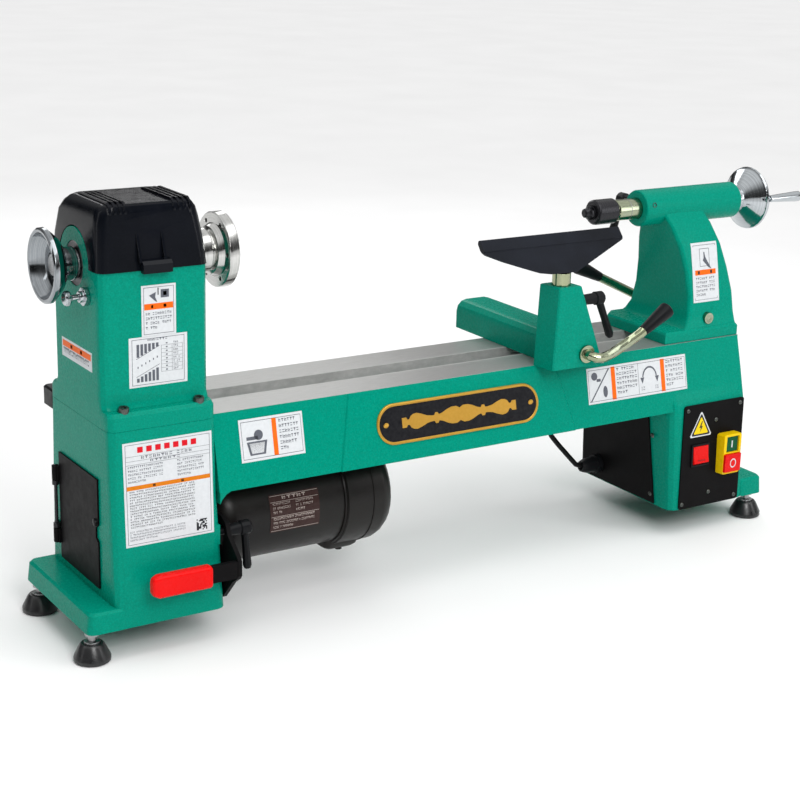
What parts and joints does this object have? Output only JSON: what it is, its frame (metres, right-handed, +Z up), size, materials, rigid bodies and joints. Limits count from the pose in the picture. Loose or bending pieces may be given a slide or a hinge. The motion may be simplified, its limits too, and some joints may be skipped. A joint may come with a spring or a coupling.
{
  "type": "bench wood lathe",
  "caption": "Bench wood lathe: cast bed on two pedestals, belt-driven headstock with faceplate, sliding banjo with tool rest, and tailstock with screw-fed quill.",
  "frame": {"origin": "centre of the bounding box's bottom, on the floor under the feet", "axes": "+X along the bed from headstock to tailstock, +Y to the back, +Z up"},
  "size_m": [1.0198, 0.2492, 0.475],
  "materials": {
    "green_paint": "textured powder coat over cast iron, fine metallic fleck",
    "black_plastic": "moulded, fine grain",
    "dark_paint": "satin black paint",
    "bright_chrome": "polished plate",
    "machined_steel": "turned and ground, oiled",
    "pulley_alloy": "as turned",
    "belt_rubber": "matte",
    "foot_rubber": "matte",
    "red_vinyl": "dipped vinyl, soft sheen",
    "charcoal_paint": "dark paint on a casting",
    "blackened_steel": "black oxide",
    "red_plastic": "moulded",
    "green_plastic": "moulded",
    "yellow_plastic": "moulded"
  },
  "bodies": {
    "frame": {"bed": "green_paint", "left_pedestal": "green_paint", "rear_bracket": "black_plastic", "headstock": "green_paint", "bearing_left": "machined_steel", "bearing_right": "machined_steel", "cover_hinge_pin": "machined_steel", "index_pin_body": "bright_chrome", "door_hinge_pin": "machined_steel", "control_panel": "black_plastic", "switch_box": "yellow_plastic", "side_cover": "black_plastic", "cable_gland": "black_plastic", "motor_cable": "belt_rubber", "drive_belt": "belt_rubber"},
    "cover": {"belt_cover": "black_plastic"},
    "spindle_line": {"spindle": "machined_steel", "outboard_handwheel": "bright_chrome", "faceplate": "machined_steel", "drive_centre": "machined_steel", "spindle_pulley": "pulley_alloy"},
    "motor": {"motor_plate": "dark_paint", "motor_body": "dark_paint", "tension_lever": "dark_paint", "tension_grip": "red_vinyl"},
    "rotor": {"motor_shaft": "machined_steel", "motor_pulley": "pulley_alloy"},
    "motor_lock": {"motor_lock_handle": "black_plastic"},
    "plunger": {"index_plunger": "bright_chrome"},
    "door": {"pulley_door": "dark_paint"},
    "banjo_plate": {"banjo_clamp_plate": "machined_steel"},
    "banjo_bolt": {"banjo_clamp_bolt": "machined_steel"},
    "banjo": {"banjo": "green_paint"},
    "banjo_clamp": {"banjo_lever": "bright_chrome", "banjo_lever_grip": "black_plastic"},
    "post": {"rest_post": "bright_chrome"},
    "rest": {"tool_rest": "charcoal_paint"},
    "rest_lock": {"rest_lock_handle": "black_plastic"},
    "tailstock": {"tailstock": "green_paint", "tail_clamp": "machined_steel"},
    "tail_wheel": {"tail_handwheel": "bright_chrome", "quill_screw": "machined_steel"},
    "crank": {"wheel_handle": "bright_chrome"},
    "quill": {"quill": "bright_chrome", "live_centre_body": "blackened_steel"},
    "centre_point": {"live_centre_point": "blackened_steel"},
    "quill_lock": {"quill_lock_handle": "black_plastic"},
    "tail_lock": {"tail_lock_lever": "bright_chrome", "tail_lock_grip": "black_plastic"},
    "rocker": {"rocker_switch": "red_plastic"},
    "start": {"start_button": "green_plastic"},
    "stop": {"stop_button": "red_plastic"},
    "foot_front_left": {"foot_pad_front_left": "foot_rubber", "foot_stud_front_left": "machined_steel"},
    "foot_back_left": {"foot_pad_back_left": "foot_rubber", "foot_stud_back_left": "machined_steel"},
    "foot_front_right": {"foot_pad_front_right": "foot_rubber", "foot_stud_front_right": "machined_steel"},
    "foot_back_right": {"foot_pad_back_right": "foot_rubber", "foot_stud_back_right": "machined_steel"}
  },
  "joints": [
    {"name": "spindle_spin", "type": "hinge", "parent": "frame", "child": "spindle_line", "pos_m": [-0.41305, -0.00288, 0.4056], "axis": [1, 0, 0], "continuous": true},
    {"name": "cover_open", "type": "hinge", "parent": "frame", "child": "cover", "pos_m": [-0.40905, 0.06552, 0.398], "axis": [1, 0, 0], "range_deg": [-100, 0]},
    {"name": "motor_swing", "type": "hinge", "parent": "frame", "child": "motor", "pos_m": [-0.33805, 0.05312, 0.15], "axis": [1, 0, 0], "range_deg": [-8, 0], "deforming": ["drive_belt"]},
    {"name": "motor_spin", "type": "hinge", "parent": "motor", "child": "rotor", "pos_m": [-0.34305, -0.00288, 0.11], "axis": [1, 0, 0], "continuous": true},
    {"name": "motor_lock_turn", "type": "hinge", "parent": "frame", "child": "motor_lock", "pos_m": [-0.32305, -0.07888, 0.117], "axis": [1, 0, 0], "range_deg": [-70, 0]},
    {"name": "plunger_slide", "type": "slide", "parent": "frame", "child": "plunger", "axis": [1, 0, 0], "range_m": [0, 0.007]},
    {"name": "door_open", "type": "hinge", "parent": "frame", "child": "door", "pos_m": [-0.47365, 0.05552, 0.128], "axis": [0, 0, 1], "range_deg": [-110, 0]},
    {"name": "banjo_along", "type": "slide", "parent": "frame", "child": "banjo_plate", "axis": [1, 0, 0], "range_m": [-0.25, 0.01]},
    {"name": "banjo_turn", "type": "hinge", "parent": "banjo_plate", "child": "banjo_bolt", "pos_m": [0.12245, -0.00288, 0.24], "axis": [0, 0, 1], "range_deg": [-12, 12]},
    {"name": "banjo_across", "type": "slide", "parent": "banjo_bolt", "child": "banjo", "axis": [0, 1, 0], "range_m": [-0.06, 0.028]},
    {"name": "banjo_clamp_turn", "type": "hinge", "parent": "banjo", "child": "banjo_clamp", "pos_m": [0.12245, -0.08288, 0.2615], "axis": [0, 1, 0], "range_deg": [-60, 15]},
    {"name": "post_height", "type": "slide", "parent": "banjo", "child": "post", "axis": [0, 0, 1], "range_m": [-0.012, 0.028]},
    {"name": "rest_swivel", "type": "hinge", "parent": "post", "child": "rest", "pos_m": [0.09345, -0.08438, 0.35], "axis": [0, 0, -1], "range_deg": [-30, 50]},
    {"name": "rest_lock_turn", "type": "hinge", "parent": "banjo", "child": "rest_lock", "pos_m": [0.14195, -0.08438, 0.322], "axis": [1, 0, 0], "range_deg": [0, 100]},
    {"name": "tailstock_along", "type": "slide", "parent": "frame", "child": "tailstock", "axis": [1, 0, 0], "range_m": [-0.1, 0]},
    {"name": "tail_wheel_turn", "type": "hinge", "parent": "tailstock", "child": "tail_wheel", "pos_m": [0.43695, -0.00288, 0.4056], "axis": [-1, 0, 0], "range_deg": [-2160, 2880]},
    {"name": "crank_spin", "type": "hinge", "parent": "tail_wheel", "child": "crank", "pos_m": [0.47695, -0.03868, 0.4096], "axis": [1, 0, 0], "continuous": true},
    {"name": "quill_slide", "type": "slide", "parent": "tailstock", "child": "quill", "axis": [-1, 0, 0], "range_m": [-0.0241, 0.0321]},
    {"name": "centre_spin", "type": "hinge", "parent": "quill", "child": "centre_point", "pos_m": [0.20695, -0.00288, 0.4056], "axis": [1, 0, 0], "continuous": true},
    {"name": "quill_lock_turn", "type": "hinge", "parent": "tailstock", "child": "quill_lock", "pos_m": [0.27895, 0.02712, 0.41], "axis": [0, 1, 0], "range_deg": [0, 60]},
    {"name": "tail_lock_turn", "type": "hinge", "parent": "tailstock", "child": "tail_lock", "pos_m": [0.34595, 0.06712, 0.271], "axis": [0, 1, 0], "range_deg": [-15, 45]},
    {"name": "rocker_tilt", "type": "hinge", "parent": "frame", "child": "rocker", "pos_m": [0.32095, -0.09088, 0.1037], "axis": [1, 0, 0], "range_deg": [0, 12]},
    {"name": "start_press", "type": "slide", "parent": "frame", "child": "start", "axis": [0, 1, 0], "range_m": [0, 0.003], "stiffness_N_per_m": 300},
    {"name": "stop_press", "type": "slide", "parent": "frame", "child": "stop", "axis": [0, 1, 0], "range_m": [0, 0.003], "stiffness_N_per_m": 300},
    {"name": "foot_turn_front_left", "type": "hinge", "parent": "frame", "child": "foot_front_left", "pos_m": [-0.49035, -0.07658, 0.02], "axis": [0, 0, 1], "continuous": true},
    {"name": "foot_turn_back_left", "type": "hinge", "parent": "frame", "child": "foot_back_left", "pos_m": [-0.49035, 0.07082, 0.02], "axis": [0, 0, 1], "continuous": true},
    {"name": "foot_turn_front_right", "type": "hinge", "parent": "frame", "child": "foot_front_right", "pos_m": [0.42455, -0.07658, 0.02], "axis": [0, 0, 1], "continuous": true},
    {"name": "foot_turn_back_right", "type": "hinge", "parent": "frame", "child": "foot_back_right", "pos_m": [0.42455, 0.07082, 0.02], "axis": [0, 0, 1], "continuous": true}
  ],
  "couplings": [
    {"joint": "motor_spin", "follows": "spindle_spin", "ratio": 1.25},
    {"joint": "quill_slide", "follows": "tail_wheel_turn", "m_per_rad": 0.00063662}
  ]
}
